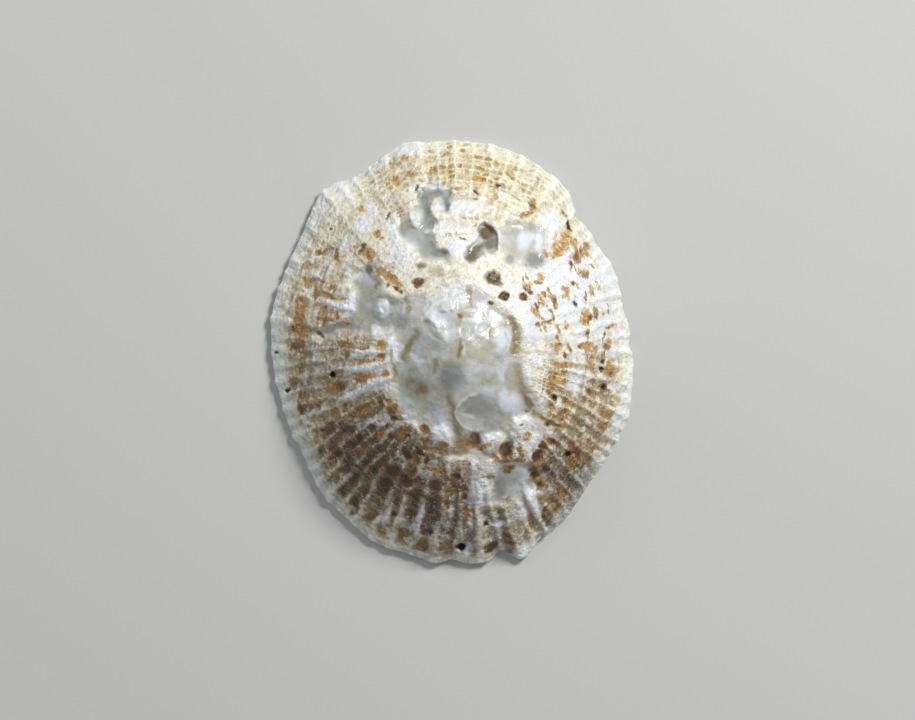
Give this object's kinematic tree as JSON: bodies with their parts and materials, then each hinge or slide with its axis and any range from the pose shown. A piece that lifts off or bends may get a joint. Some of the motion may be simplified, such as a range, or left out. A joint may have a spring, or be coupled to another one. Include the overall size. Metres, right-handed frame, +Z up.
{
  "type": "limpet shell",
  "caption": "Small oval conical limpet shell with radial ribs, growth ledges, a worn smooth crown and a hollow underside; stands on its thin rim.",
  "frame": {"origin": "on the ground, under the middle of the shell's outline", "axes": "+Z up through the crown, +Y along the shell's length, towards the top of the picture"},
  "size_m": [0.0103, 0.012, 0.0037],
  "materials": {
    "shell": "worn cream and brown lime shell, satin, with a glassy crown"
  },
  "bodies": {
    "root": {"shell": "shell"}
  },
  "joints": []
}
